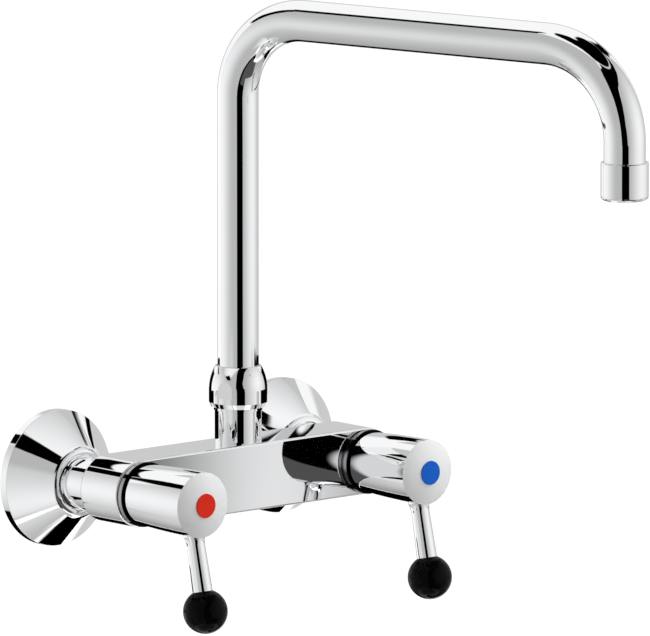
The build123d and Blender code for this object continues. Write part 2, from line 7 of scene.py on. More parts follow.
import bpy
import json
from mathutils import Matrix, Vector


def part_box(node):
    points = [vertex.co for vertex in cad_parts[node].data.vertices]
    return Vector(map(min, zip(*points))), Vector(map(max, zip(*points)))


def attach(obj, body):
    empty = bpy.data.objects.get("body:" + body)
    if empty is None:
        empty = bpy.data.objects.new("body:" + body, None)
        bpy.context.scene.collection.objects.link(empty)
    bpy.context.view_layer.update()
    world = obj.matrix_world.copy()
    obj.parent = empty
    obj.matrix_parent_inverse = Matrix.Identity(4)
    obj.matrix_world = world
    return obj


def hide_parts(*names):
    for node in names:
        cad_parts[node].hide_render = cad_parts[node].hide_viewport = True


bl_info = {
    "name": "Wall mixer tap",
    "version": (1, 0, 0),
    "blender": (4, 5, 0),
    "location": "View3D > Sidebar > Tap",
    "description": "Finishes, threaded tails and studio for a wall-mounted mixer tap",
    "category": "Object",
}

import json
import math

import bpy
import numpy as np
from bpy.props import FloatProperty, FloatVectorProperty, IntProperty, PointerProperty
from mathutils import Matrix, Vector

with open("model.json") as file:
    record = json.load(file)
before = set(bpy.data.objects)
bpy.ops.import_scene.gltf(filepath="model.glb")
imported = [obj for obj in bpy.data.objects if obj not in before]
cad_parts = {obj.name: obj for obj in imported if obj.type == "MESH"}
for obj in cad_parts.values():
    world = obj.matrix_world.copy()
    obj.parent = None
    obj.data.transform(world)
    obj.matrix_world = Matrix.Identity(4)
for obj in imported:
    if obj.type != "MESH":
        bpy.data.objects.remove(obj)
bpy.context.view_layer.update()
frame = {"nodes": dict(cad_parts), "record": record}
NODE_SLOTS = {part["node"]: part["material_slot"] for part in frame["record"]["subparts"]}
SLOT_COLOURS = {
    entry["slot"]: tuple(entry["base_color"]) for entry in frame["record"]["materials"]}
SIDES = ("hot", "cold")
FIXED_BODY = "fixture"

# Painted shade in the joint on both sides of a trim ring: how wide it is, and how dark it is
RING_JOINT_SHADE_WIDTH = 0.0006
PAINTED_JOINT_SHADE = (0.004, 0.004, 0.004, 1.0)

# Edges of a threaded tail that turn by more than this stay sharp
SHARP_ANGLE = math.radians(50.0)

# Sockets of a Mix node, by their place
MIX_FACTOR, FLOAT_A, FLOAT_B, COLOUR_A, COLOUR_B = 0, 2, 3, 6, 7
FLOAT_OUT, COLOUR_OUT = 0, 2

# Sockets of a Mix Shader node, by their place
SHARE, SHADER_A, SHADER_B = 0, 1, 2

# Soft variation: the stretch of the noise that is used, its detail and its roughness
CLOUD_LOW, CLOUD_HIGH = 0.3, 0.7
CLOUD_DETAIL, CLOUD_ROUGHNESS = 5.0, 0.6

# Fine grain: detail of the fine and of the coarse noise, and how much broader the coarse one is
FINE_DETAIL, COARSE_DETAIL, COARSE_RATIO = 2.0, 1.0, 9.0


# Properties


class TailSizes(bpy.types.PropertyGroup):
    """Sizes of the threaded tails that screw into the wall."""

    thread_r: FloatProperty(
        name="Thread radius", description="Outer radius of the wall thread",
        default=0.0104775, unit="LENGTH", precision=6)
    thread_pitch: FloatProperty(
        name="Thread pitch", description="Distance from one crest to the next",
        default=0.001814, unit="LENGTH", precision=6)
    thread_depth: FloatProperty(
        name="Thread depth", description="From the crest down to the root",
        default=0.001162, unit="LENGTH", precision=6)
    thread_chamfer: FloatProperty(
        name="Tip chamfer", description="Chamfer at the tip of the thread",
        default=0.0012, unit="LENGTH", precision=6)
    neck_r: FloatProperty(
        name="Neck radius", description="Radius of the plain neck behind the thread",
        default=0.0099775, unit="LENGTH", precision=6)
    bore_r: FloatProperty(
        name="Bore radius", description="Radius of the way for the water",
        default=0.007, unit="LENGTH", precision=6)
    flange_t: FloatProperty(
        name="Flange thickness", description="Thickness of the flange that the union nut pulls on",
        default=0.003, unit="LENGTH", precision=6)
    edge: FloatProperty(
        name="Edge break", description="Small chamfer on the turned edges",
        default=0.0003, unit="LENGTH", precision=6)
    around: IntProperty(
        name="Steps around", description="Grid steps round the axis", default=144, min=24)
    along: IntProperty(
        name="Steps per turn", description="Grid steps along one thread pitch", default=12, min=6)


class FinishColours(bpy.types.PropertyGroup):
    """Colours of the finishes."""

    chrome: FloatVectorProperty(
        name="Chrome", description="Polished chrome plating", subtype="COLOR", size=3,
        min=0.0, max=1.0, default=(0.93, 0.935, 0.945))
    # Trim ring colour: a darker chrome than the rest, which is painted shade
    ring: FloatVectorProperty(
        name="Trim ring", description="Shadowed chrome of the trim rings", subtype="COLOR", size=3,
        min=0.0, max=1.0, default=(0.42, 0.42, 0.43))
    brass: FloatVectorProperty(
        name="Brass", description="Machined brass", subtype="COLOR", size=3,
        min=0.0, max=1.0, default=SLOT_COLOURS["brass"])
    cap: FloatVectorProperty(
        name="Cap", description="Satin pale grey of the end caps", subtype="COLOR", size=3,
        min=0.0, max=1.0, default=(0.84, 0.845, 0.85))
    red: FloatVectorProperty(
        name="Hot dot", description="Red of the hot index dot", subtype="COLOR", size=3,
        min=0.0, max=1.0, default=(0.82, 0.026, 0.007))
    blue: FloatVectorProperty(
        name="Cold dot", description="Blue of the cold index dot", subtype="COLOR", size=3,
        min=0.0, max=1.0, default=(0.006, 0.125, 0.62))
    black: FloatVectorProperty(
        name="Ball", description="Glossy black of the lever balls", subtype="COLOR", size=3,
        min=0.0, max=1.0, default=(0.002, 0.002, 0.0024))


class StageSizes(bpy.types.PropertyGroup):
    """Sizes and levels of the studio."""

    floor_z: FloatProperty(
        name="Floor height", description="Height of the floor, below the tap",
        default=-0.62, unit="LENGTH")
    floor_r: FloatProperty(
        name="Floor radius", description="Radius of the round floor", default=14.0, unit="LENGTH")
    card_r: FloatProperty(
        name="Card distance", description="Distance of the bent reflection cards from the tap",
        default=1.4, unit="LENGTH")
    key_power: FloatProperty(
        name="Key light", description="Power of the soft light at the right",
        default=30.0, unit="POWER")
    fill_power: FloatProperty(
        name="Fill light", description="Power of the soft light at the left",
        default=1.0, unit="POWER")
    sky: FloatProperty(
        name="Room light", description="Level of the even light from all sides",
        default=0.34, min=0.0, max=1.0)


# Finishes


def new_group(name, inputs, outputs):
    """New shader group with its inputs (label, kind, default or None) and outputs (label, kind)."""
    group = bpy.data.node_groups.new(name, "ShaderNodeTree")
    for label, kind, value in inputs:
        socket = group.interface.new_socket(
            label, in_out="INPUT", socket_type="NodeSocket" + kind)
        if value is not None:
            socket.default_value = value
    for label, kind in outputs:
        group.interface.new_socket(label, in_out="OUTPUT", socket_type="NodeSocket" + kind)
    return group, group.nodes.new("NodeGroupInput"), group.nodes.new("NodeGroupOutput")


def variation_group():
    """Shader group: a soft cloud over the surface that runs between two values and two colours."""
    name = "Soft variation"
    if name in bpy.data.node_groups:
        return bpy.data.node_groups[name]
    group, given, out = new_group(
        name,
        (("Vector", "Vector", None), ("Scale", "Float", 30.0), ("Low", "Float", 0.0),
         ("High", "Float", 1.0), ("First", "Color", None), ("Second", "Color", None)),
        (("Value", "Float"), ("Color", "Color")))
    nodes, links = group.nodes, group.links
    cloud = nodes.new("ShaderNodeTexNoise")
    cloud.inputs["Detail"].default_value = CLOUD_DETAIL
    cloud.inputs["Roughness"].default_value = CLOUD_ROUGHNESS
    span = nodes.new("ShaderNodeMapRange")
    shade = nodes.new("ShaderNodeMapRange")
    for stretch in (span, shade):
        stretch.inputs["From Min"].default_value = CLOUD_LOW
        stretch.inputs["From Max"].default_value = CLOUD_HIGH
        links.new(cloud.outputs["Fac"], stretch.inputs["Value"])
    tint = nodes.new("ShaderNodeMix")
    tint.data_type = "RGBA"
    links.new(given.outputs["Vector"], cloud.inputs["Vector"])
    links.new(given.outputs["Scale"], cloud.inputs["Scale"])
    links.new(given.outputs["Low"], span.inputs["To Min"])
    links.new(given.outputs["High"], span.inputs["To Max"])
    links.new(shade.outputs["Result"], tint.inputs[MIX_FACTOR])
    links.new(given.outputs["First"], tint.inputs[COLOUR_A])
    links.new(given.outputs["Second"], tint.inputs[COLOUR_B])
    links.new(span.outputs["Result"], out.inputs["Value"])
    links.new(tint.outputs[COLOUR_OUT], out.inputs["Color"])
    return group


def grain_group():
    """Shader group: height of a fine grain, with a coarser unevenness under it."""
    name = "Fine grain"
    if name in bpy.data.node_groups:
        return bpy.data.node_groups[name]
    group, given, out = new_group(
        name,
        (("Vector", "Vector", None), ("Scale", "Float", 2500.0), ("Coarse", "Float", 0.3)),
        (("Height", "Float"),))
    nodes, links = group.nodes, group.links
    fine = nodes.new("ShaderNodeTexNoise")
    fine.inputs["Detail"].default_value = FINE_DETAIL
    broad = nodes.new("ShaderNodeMath")
    broad.operation = "DIVIDE"
    broad.inputs[1].default_value = COARSE_RATIO
    coarse = nodes.new("ShaderNodeTexNoise")
    coarse.inputs["Detail"].default_value = COARSE_DETAIL
    blend = nodes.new("ShaderNodeMix")
    blend.data_type = "FLOAT"
    links.new(given.outputs["Vector"], fine.inputs["Vector"])
    links.new(given.outputs["Vector"], coarse.inputs["Vector"])
    links.new(given.outputs["Scale"], fine.inputs["Scale"])
    links.new(given.outputs["Scale"], broad.inputs[0])
    links.new(broad.outputs[0], coarse.inputs["Scale"])
    links.new(given.outputs["Coarse"], blend.inputs[MIX_FACTOR])
    links.new(fine.outputs["Fac"], blend.inputs[FLOAT_A])
    links.new(coarse.outputs["Fac"], blend.inputs[FLOAT_B])
    links.new(blend.outputs[FLOAT_OUT], out.inputs["Height"])
    return group


def finish(name, colour, shade=0.94, cloud=30.0, rough=(0.3, 0.4), metallic=0.0, specular=0.5,
           grain=None):
    """Material with a soft variation of its colour and roughness.

    In clouds of the given scale, the colour runs down to shade times itself, and the roughness
    between the two values of rough. Where grain is (scale, strength, depth), it adds a fine bump.
    """
    material = bpy.data.materials.new(name)
    material.use_nodes = True
    nodes, links = material.node_tree.nodes, material.node_tree.links
    surface = nodes["Principled BSDF"]
    surface.inputs["Metallic"].default_value = metallic
    surface.inputs["Specular IOR Level"].default_value = specular
    place = nodes.new("ShaderNodeTexCoord")
    vary = nodes.new("ShaderNodeGroup")
    vary.node_tree = variation_group()
    vary.inputs["Scale"].default_value = cloud
    vary.inputs["Low"].default_value = rough[0]
    vary.inputs["High"].default_value = rough[1]
    vary.inputs["First"].default_value = (*colour, 1.0)
    vary.inputs["Second"].default_value = (*(shade * part for part in colour), 1.0)
    links.new(place.outputs["Object"], vary.inputs["Vector"])
    links.new(vary.outputs["Color"], surface.inputs["Base Color"])
    links.new(vary.outputs["Value"], surface.inputs["Roughness"])
    if grain:
        scale, strength, depth = grain
        marks = nodes.new("ShaderNodeGroup")
        marks.node_tree = grain_group()
        marks.inputs["Scale"].default_value = scale
        bump = nodes.new("ShaderNodeBump")
        bump.inputs["Strength"].default_value = strength
        bump.inputs["Distance"].default_value = depth
        links.new(place.outputs["Object"], marks.inputs["Vector"])
        links.new(marks.outputs["Height"], bump.inputs["Height"])
        links.new(bump.outputs["Normal"], surface.inputs["Normal"])
    return material


def paint_joint_shade(material, low, high, width):
    """Paints shade on a finish near both ends of a piece along Y, where its joints lie in shadow.

    Y minus low, folded back at the middle, is the distance from the nearer end. The finish eases
    from the painted shade at the joint to its own colour over the width.
    """
    nodes, links = material.node_tree.nodes, material.node_tree.links
    surface = nodes["Principled BSDF"]
    colour = surface.inputs["Base Color"].links[0].from_socket
    place = nodes.new("ShaderNodeTexCoord")
    parts = nodes.new("ShaderNodeSeparateXYZ")
    shift = nodes.new("ShaderNodeMath")
    shift.operation = "SUBTRACT"
    shift.inputs[1].default_value = low
    inside = nodes.new("ShaderNodeMath")
    inside.operation = "PINGPONG"
    inside.inputs[1].default_value = (high - low) / 2
    light = nodes.new("ShaderNodeMapRange")
    light.interpolation_type = "SMOOTHSTEP"
    light.inputs["From Max"].default_value = width
    shade = nodes.new("ShaderNodeMix")
    shade.data_type = "RGBA"
    shade.inputs[COLOUR_A].default_value = PAINTED_JOINT_SHADE
    links.new(place.outputs["Object"], parts.inputs[0])
    links.new(parts.outputs["Y"], shift.inputs[0])
    links.new(shift.outputs[0], inside.inputs[0])
    links.new(inside.outputs[0], light.inputs["Value"])
    links.new(light.outputs["Result"], shade.inputs[MIX_FACTOR])
    links.new(colour, shade.inputs[COLOUR_B])
    links.new(shade.outputs[COLOUR_OUT], surface.inputs["Base Color"])


def dress_node(node, material):
    """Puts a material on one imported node."""
    mesh = frame["nodes"][node].data
    mesh.materials.clear()
    mesh.materials.append(material)


def dress(slot, material):
    """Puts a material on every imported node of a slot."""
    for node, name in NODE_SLOTS.items():
        if name == slot:
            dress_node(node, material)


# Shapes


def ease(value):
    """Smooth step: 0 below 0, 1 above 1, and 3t^2 - 2t^3 between."""
    t = np.clip(value, 0.0, 1.0)
    return t * t * (3.0 - 2.0 * t)


def grid_mesh(name, points, close_u, close_v):
    """Mesh of quads over a grid of points (rows u, columns v), joined round at a closed edge."""
    rows, columns = points.shape[:2]
    index = np.arange(rows * columns).reshape(rows, columns)
    if close_u:
        index = np.concatenate([index, index[:1]], axis=0)
    if close_v:
        index = np.concatenate([index, index[:, :1]], axis=1)
    corners = [index[:-1, :-1], index[1:, :-1], index[1:, 1:], index[:-1, 1:]]
    faces = np.stack(corners, axis=-1).reshape(-1, 4)
    mesh = bpy.data.meshes.new(name)
    mesh.from_pydata(points.reshape(-1, 3).tolist(), [], faces.tolist())
    mesh.validate()
    return mesh


def add_object(name, mesh):
    """A new object at the origin that shows a mesh."""
    piece = bpy.data.objects.new(name, mesh)
    bpy.context.scene.collection.objects.link(piece)
    return piece


def tail_points(sizes, centre_x, low, high, flange_r):
    """Grid of the threaded tail: a closed profile (radius, Y) carried round the inlet axis.

    On the thread the radius is the crest minus the depth times the root of (1 - cos(phase)) / 2.
    The phase is a full turn times (Y / pitch minus the share of a turn), so that the crest climbs
    one pitch in each turn. Over the first pitch the thread grows out of the neck, and at the tip a
    cone cuts its crest down.
    """
    edge = sizes.edge
    turns = (high - edge) / sizes.thread_pitch
    steps = int(round(turns * sizes.along))
    thread_y = np.linspace(0.0, high - edge, steps)
    flange_back = low + sizes.flange_t
    front = np.array([
        (sizes.bore_r + edge, low), (flange_r - edge, low),
        (flange_r, low + edge), (flange_r, flange_back - edge),
        (flange_r - edge, flange_back), (sizes.neck_r + edge, flange_back),
        (sizes.neck_r, flange_back + edge), (sizes.neck_r, -2 * edge),
    ])
    tip_r = sizes.thread_r - sizes.thread_chamfer - edge
    back = np.array([
        (tip_r, high), (sizes.bore_r + edge, high),
        (sizes.bore_r, high - edge), (sizes.bore_r, low + edge),
    ])
    thread = np.stack([np.full(steps, sizes.thread_r), thread_y], axis=1)
    profile = np.concatenate([front, thread, back])
    on_thread = np.zeros(len(profile), dtype=bool)
    on_thread[len(front):len(front) + steps] = True
    radius, y = profile[:, 0], profile[:, 1]
    turn = np.arange(sizes.around) / sizes.around
    phase = 2.0 * np.pi * (y[None, :] / sizes.thread_pitch - turn[:, None])
    fade = ease(y / sizes.thread_pitch)
    groove = np.sqrt(np.clip((1.0 - np.cos(phase)) / 2.0, 0.0, 1.0)) * sizes.thread_depth
    grown = sizes.neck_r + (sizes.thread_r - groove - sizes.neck_r) * fade[None, :]
    cone = sizes.thread_r - (y - (high - sizes.thread_chamfer))
    cut = np.minimum(grown, np.maximum(cone, tip_r)[None, :])
    r = np.where(on_thread[None, :], cut, radius[None, :])
    angle = 2.0 * np.pi * turn[:, None]
    return np.stack([
        centre_x + r * np.cos(angle), np.broadcast_to(y[None, :], r.shape), r * np.sin(angle),
    ], axis=-1)


# Studio: directions are counted from the tap, azimuth in degrees from the camera's side to its
# right, and elevation in degrees up

CAMERA_AZIMUTH = math.radians(41.43)
CAMERA_ELEVATION = math.radians(9.0)
CAMERA_DISTANCE = 8.0
CAMERA_CLIP = (0.1, 60.0)
PIXELS_PER_METRE = 1990.0
IMAGE_WIDTH = 650
SENSOR_WIDTH = 36.0
AIM = Vector((0.0, -0.06, 0.1))
AIM_RIGHT = 0.04122
AIM_UP = -0.01972

# Floor: rings and spokes of its grid, the small hole in its middle, the scale and the two shades of
# its variation, and what it glows for the eye
FLOOR_RINGS, FLOOR_SPOKES, FLOOR_HOLE = 24, 96, 0.001
FLOOR_CLOUD = 3.0
FLOOR_PALE = (0.82, 0.82, 0.82, 1.0)
FLOOR_SHADED = (0.80, 0.80, 0.80, 1.0)
FLOOR_GLOW = 0.78
WHITE = (1.0, 1.0, 1.0, 1.0)

# Soft lamps: azimuth, elevation, distance and size
KEY_LAMP = (104.0, 32.0, 1.6, 1.0)
FILL_LAMP = (-70.0, 30.0, 1.6, 1.2)

# Bent cards: what they are bent round, their room above the floor, how much nearer each one lies
# than the one before it, their grid steps both ways, and the least drop of a ray to the floor
CARD_CENTRE = np.array([0.0, -0.12, 0.1])
CARD_FLOOR_ROOM = 0.03
CARD_STEP = 0.004
CARD_GRID = 72
LEAST_DROP = 1e-6

# Each bent card: name, rows of (elevation, left azimuth, right azimuth), soft edge in degrees, and
# its glow as (azimuth, elevation, azimuth spread, elevation spread, middle level, rim level)
BLACK = (0, 0, 90, 90, 0.0, 0.0)
DARK = (0, 0, 90, 90, 0.085, 0.085)
BENT_CARDS = (
    ("card_left",
     ((-62, -100, -2), (-40, -112, -2), (0, -118, 2), (30, -112, 4), (58, -96, 4)),
     4.0, (-105, -6, 78, 50, 0.98, 0.5)),
    ("card_right",
     ((-62, 30, 150), (-30, 22, 146), (0, 10, 150), (20, 14, 142), (40, 36, 132), (52, 66, 116)),
     5.0, (88, 4, 76, 62, 0.98, 0.45)),
    ("card_sill", ((-40, 80, 91), (-10.5, 80, 91)), 1.2, (84.6, -16, 4.2, 40, 0.82, 0.1)),
    ("card_back",
     ((-45, 148, 212), (-20, 140, 220), (30, 150, 210)), 8.0, (180, 5, 60, 60, 0.62, 0.62)),
    ("flag_front",
     ((-66, -4, 32), (-15, -7, 29), (-9, -8, 27), (-5, -8, 27), (0, -11, 21), (10, -11, 18),
      (20, -10, 22), (30, -9, 28), (38, -8, 36), (45, -4, 60), (50, 6, 110), (56, 8, 126)),
     1.5, BLACK),
    ("flag_top",
     ((55, 6, 128), (62, -20, 140), (67, -70, 146), (75, -100, 150), (88, -100, 150)),
     2.5, BLACK),
    ("flag_left",
     ((26, -128, -112), (34, -124, -100), (40, -114, -90), (50, -102, -84), (64, -98, -78)),
     2.0, BLACK),
    ("flag_right", ((24, 146, 158), (35, 136, 150), (45, 120, 144), (58, 110, 142)), 2.5, BLACK),
    ("card_low",
     ((-89, -180, 150), (-78, -170, 140), (-64, -60, 60)), 3.0, (-30, -58, 200, 36, 0.78, 0.5)),
    ("card_under",
     ((-60, -166, -94), (-50, -153, -97), (-40, -152, -102), (-28, -152, -110)),
     3.0, (-104, -42, 45, 60, 0.68, 0.33)),
    ("flag_low",
     ((-88, 150, 200), (-80, 156, 187), (-70, 150, 185), (-62, 122, 180), (-56, 124, 178),
      (-52.5, 128, 174), (-50, 132, 158), (-42, 134, 150), (-35, 136, 148)),
     1.5, BLACK),
    ("flag_sill",
     ((-60, 6, 70), (-44, 4, 78), (-36, 4, 74), (-30, 4, 30), (-18, 3, 27)), 2.0, DARK),
    ("flag_line_left", ((-12.8, -178, -112), (-10.6, -178, -112)), 0.4, BLACK),
    ("flag_line_right", ((-12.8, 103, 178), (-10.6, 103, 178)), 0.4, BLACK),
    ("flag_under",
     ((-54, -180, -150), (-40, -182, -151), (-28, -183, -154), (-15, -184, -160)), 1.5, BLACK),
)

# Flat cards close to the tap: their grid steps both ways
NEAR_GRID = 48

# Each flat card: name, centre, its two edge directions (it shows on the side of their cross
# product), half sizes, soft edge, and its glow as (place along both edges, both spreads, middle
# level, rim level)
NEAR_BLACK = (0.0, 0.0, 1.0, 1.0, 0.0, 0.0)
NEAR_CARDS = (
    ("card_over_roses", (0.066, -0.0595, 0.110), (1, 0, 0), (0, -1, 0),
     (0.194, 0.0455), 0.005, (0.0, 0.012, 1.0, 0.085, 1.0, 0.5)),
    ("card_hot_rose", (0.0, -0.004, 0.1105), (1, 0, 0), (0, -1, 0),
     (0.050, 0.022), 0.004, (0.0, 0.0, 1.0, 1.0, 0.58, 0.58)),
    ("card_cold_rose", (0.15, -0.004, 0.1105), (1, 0, 0), (0, -1, 0),
     (0.050, 0.022), 0.004, (0.0, 0.0, 1.0, 1.0, 0.58, 0.58)),
    ("flag_hot_rose", (-0.1535, -0.076, 0.109), (0.85, 0.526, 0), (0.526, -0.85, 0),
     (0.036, 0.025), 0.004, NEAR_BLACK),
    ("flag_cold_rose", (-0.0035, -0.076, 0.108), (0.85, 0.526, 0), (0.526, -0.85, 0),
     (0.034, 0.014), 0.004, NEAR_BLACK),
    ("card_rose_side", (-0.1956, -0.0901, -0.0725), (-0.7498, 0.6617, 0), (0, 0, 1),
     (0.065, 0.1325), 0.03, (0.0, -0.03, 0.14, 0.17, 0.93, 0.62)),
    ("card_body_front", (0.0195, -0.091, 0.0), (-0.6225, 0.7826, 0), (0, 0, 1),
     (0.0205, 0.058), 0.008, (0.0, 0.0, 1.0, 1.0, 0.76, 0.76)),
    ("card_cold_handle", (0.0048, 0.0513, 0.112), (0.831, 0.556, 0), (0.556, -0.831, 0),
     (0.0195, 0.046), 0.003, (0.0, 0.0, 1.0, 1.0, 0.9, 0.9)),
    ("flag_over_boss", (-0.066, 0.051, 0.100), (1, 0, 0), (0, -1, 0),
     (0.042, 0.013), 0.003, NEAR_BLACK),
    ("flag_cold_handle", (0.205, 0.076, 0.100), (0.77, 0.64, 0), (0.64, -0.77, 0),
     (0.100, 0.015), 0.003, NEAR_BLACK),
    ("card_under_arm", (0.0152, -0.1627, 0.2165), (0.2504, -0.9681, 0), (0.9681, 0.2504, 0),
     (0.083, 0.012), 0.002, (0.0, -0.012, 1.0, 0.024, 0.60, 0.42)),
    ("flag_nut_left", (-0.0110, -0.030, 0.0468), (1, 0, 0), (0, 0, 1),
     (0.0075, 0.0098), 0.001, NEAR_BLACK),
    ("flag_nut_right", (0.027, -0.0603, 0.0475), (0, -1, 0), (0, 0, 1),
     (0.0095, 0.0105), 0.001, NEAR_BLACK),
    ("flag_under_rim", (-0.095, 0.090, -0.080), (1, 0, 0), (0, 1, 0),
     (0.050, 0.036), 0.004, NEAR_BLACK),
)


def camera_frame():
    """Unit vectors towards the camera, to its right and up across its view."""
    across, along = math.sin(CAMERA_AZIMUTH), math.cos(CAMERA_AZIMUTH)
    level = math.cos(CAMERA_ELEVATION)
    back = Vector((-across * level, -along * level, math.sin(CAMERA_ELEVATION)))
    right = Vector((along, -across, 0.0))
    return back, right, back.cross(right)


def direction(azimuth, elevation):
    """Unit vectors for azimuths and elevations in degrees, stacked on the last axis."""
    across, along = math.sin(CAMERA_AZIMUTH), math.cos(CAMERA_AZIMUTH)
    a, e = np.radians(azimuth), np.radians(elevation)
    towards = np.array([-across, -along, 0.0])
    right = np.array([along, -across, 0.0])
    flat = np.cos(a)[..., None] * towards + np.sin(a)[..., None] * right
    return np.cos(e)[..., None] * flat + np.sin(e)[..., None] * np.array([0.0, 0.0, 1.0])


def set_card_values(mesh, level, cover):
    """Keeps a card's glow and cover at its points."""
    for label, values in (("glow", level), ("cover", cover)):
        kept = mesh.attributes.new(label, "FLOAT", "POINT")
        kept.data.foreach_set("value", values.astype(np.float32).ravel())


def card_level(first, second, glow):
    """Glow that eases from the middle level to the rim level with the distance in both spreads."""
    level_first, level_second, spread_first, spread_second, middle, rim = glow
    far = ((first - level_first) / spread_first) ** 2
    far = far + ((second - level_second) / spread_second) ** 2
    return rim + (middle - rim) * (1.0 - ease(np.sqrt(far)))


def card_mesh(name, rows, soft, glow, distance, lift, floor_z):
    """Card bent round the tap: azimuth runs from the left to the right edge at each elevation.

    A point lies at the card distance from the centre. Below, it is drawn in along its ray so that
    it stays a lift above the floor, and so above the cards behind it. The cover fades to nothing
    over the soft edge.
    """
    rows = np.array(rows, dtype=float)
    v = np.linspace(rows[0, 0], rows[-1, 0], CARD_GRID)
    left = np.interp(v, rows[:, 0], rows[:, 1])
    right = np.interp(v, rows[:, 0], rows[:, 2])
    u = np.linspace(0.0, 1.0, CARD_GRID)
    azimuth = left[:, None] + (right - left)[:, None] * u[None, :]
    elevation = np.broadcast_to(v[:, None], azimuth.shape)
    rays = direction(azimuth, elevation)
    room = CARD_CENTRE[2] - floor_z - lift
    reach = np.minimum(distance, room / np.maximum(-rays[..., 2], LEAST_DROP))
    mesh = grid_mesh(name, CARD_CENTRE + rays * reach[..., None], False, False)
    across = np.minimum(azimuth - left[:, None], right[:, None] - azimuth)
    across = across * np.cos(np.radians(elevation))
    upward = np.minimum(elevation - rows[0, 0], rows[-1, 0] - elevation)
    cover = ease(np.minimum(across, upward) / soft)
    set_card_values(mesh, card_level(azimuth, elevation, glow), cover)
    return mesh


def near_card_mesh(name, centre, first, second, half, soft, glow):
    """Flat card: centre + a * first + b * second, a and b from minus to plus the half sizes.

    Its cover fades to nothing over the soft edge.
    """
    a = np.linspace(-half[0], half[0], NEAR_GRID)[:, None]
    b = np.linspace(-half[1], half[1], NEAR_GRID)[None, :]
    along_first = a[..., None] * np.array(first, float)
    along_second = b[..., None] * np.array(second, float)
    mesh = grid_mesh(name, np.array(centre) + along_first + along_second, False, False)
    cover = ease(np.minimum(half[0] - np.abs(a), half[1] - np.abs(b)) / soft)
    set_card_values(mesh, card_level(a, b, glow), cover)
    return mesh


def bare_material(name):
    """New material with nothing in it but its output."""
    material = bpy.data.materials.new(name)
    material.use_nodes = True
    nodes, links = material.node_tree.nodes, material.node_tree.links
    nodes.clear()
    return material, nodes, links, nodes.new("ShaderNodeOutputMaterial")


def show_front(nodes, links, shader, clear, out):
    """Shows a shader on the front of a surface, and leaves its back clear."""
    side = nodes.new("ShaderNodeMixShader")
    geometry = nodes.new("ShaderNodeNewGeometry")
    links.new(geometry.outputs["Backfacing"], side.inputs[SHARE])
    links.new(shader.outputs[0], side.inputs[SHADER_A])
    links.new(clear.outputs[0], side.inputs[SHADER_B])
    links.new(side.outputs[0], out.inputs["Surface"])


def card_material():
    """Plain glow of a card, see-through where its cover fades and from behind."""
    material, nodes, links, out = bare_material("reflection_card")
    mix = nodes.new("ShaderNodeMixShader")
    clear = nodes.new("ShaderNodeBsdfTransparent")
    light = nodes.new("ShaderNodeEmission")
    glow = nodes.new("ShaderNodeAttribute")
    glow.attribute_name = "glow"
    cover = nodes.new("ShaderNodeAttribute")
    cover.attribute_name = "cover"
    links.new(glow.outputs["Fac"], light.inputs["Strength"])
    links.new(cover.outputs["Fac"], mix.inputs[SHARE])
    links.new(clear.outputs[0], mix.inputs[SHADER_A])
    links.new(light.outputs[0], mix.inputs[SHADER_B])
    show_front(nodes, links, mix, clear, out)
    return material


def seen_rays(nodes, links):
    """Socket that is 1 for rays from the camera, gloss and glass, and 0 for light that falls."""
    path = nodes.new("ShaderNodeLightPath")
    first = nodes.new("ShaderNodeMath")
    first.operation = "MAXIMUM"
    second = nodes.new("ShaderNodeMath")
    second.operation = "MAXIMUM"
    links.new(path.outputs["Is Camera Ray"], first.inputs[0])
    links.new(path.outputs["Is Glossy Ray"], first.inputs[1])
    links.new(first.outputs[0], second.inputs[0])
    links.new(path.outputs["Is Transmission Ray"], second.inputs[1])
    return second.outputs[0]


def floor_material():
    """Pale matt floor that glows to white for the eye, keeps the shadow and is clear from below."""
    material, nodes, links, out = bare_material("pale_floor")
    place = nodes.new("ShaderNodeTexCoord")
    vary = nodes.new("ShaderNodeGroup")
    vary.node_tree = variation_group()
    vary.inputs["Scale"].default_value = FLOOR_CLOUD
    vary.inputs["First"].default_value = FLOOR_PALE
    vary.inputs["Second"].default_value = FLOOR_SHADED
    matt = nodes.new("ShaderNodeBsdfDiffuse")
    light = nodes.new("ShaderNodeEmission")
    light.inputs["Strength"].default_value = FLOOR_GLOW
    lit = nodes.new("ShaderNodeAddShader")
    pick = nodes.new("ShaderNodeMixShader")
    clear = nodes.new("ShaderNodeBsdfTransparent")
    links.new(place.outputs["Object"], vary.inputs["Vector"])
    links.new(vary.outputs["Color"], matt.inputs["Color"])
    links.new(matt.outputs[0], lit.inputs[0])
    links.new(light.outputs[0], lit.inputs[1])
    links.new(seen_rays(nodes, links), pick.inputs[SHARE])
    links.new(matt.outputs[0], pick.inputs[SHADER_A])
    links.new(lit.outputs[0], pick.inputs[SHADER_B])
    show_front(nodes, links, pick, clear, out)
    return material


def floor_points(radius, height):
    """Round floor: rings about the tap, whose radius grows with the square of their number."""
    ring = np.linspace(0.0, 1.0, FLOOR_RINGS) ** 2 * radius + FLOOR_HOLE
    angle = np.linspace(0.0, 2.0 * np.pi, FLOOR_SPOKES, endpoint=False)
    x = ring[:, None] * np.cos(angle)[None, :]
    y = ring[:, None] * np.sin(angle)[None, :]
    return np.stack([x, y, np.full_like(x, height)], axis=-1)


def soft_lamp(name, place, power):
    """Square soft lamp that looks at the tap and isn't mirrored in the chrome."""
    azimuth, elevation, distance, size = place
    lamp = bpy.data.lights.new(name, "AREA")
    lamp.energy = power
    lamp.size = size
    holder = bpy.data.objects.new(name, lamp)
    ray = Vector(direction(np.array(azimuth), np.array(elevation)))
    holder.location = Vector(CARD_CENTRE) + ray * distance
    holder.rotation_euler = (-ray).to_track_quat("-Z", "Y").to_euler()
    holder.visible_glossy = False
    holder.visible_camera = False
    bpy.context.scene.collection.objects.link(holder)


# Operators


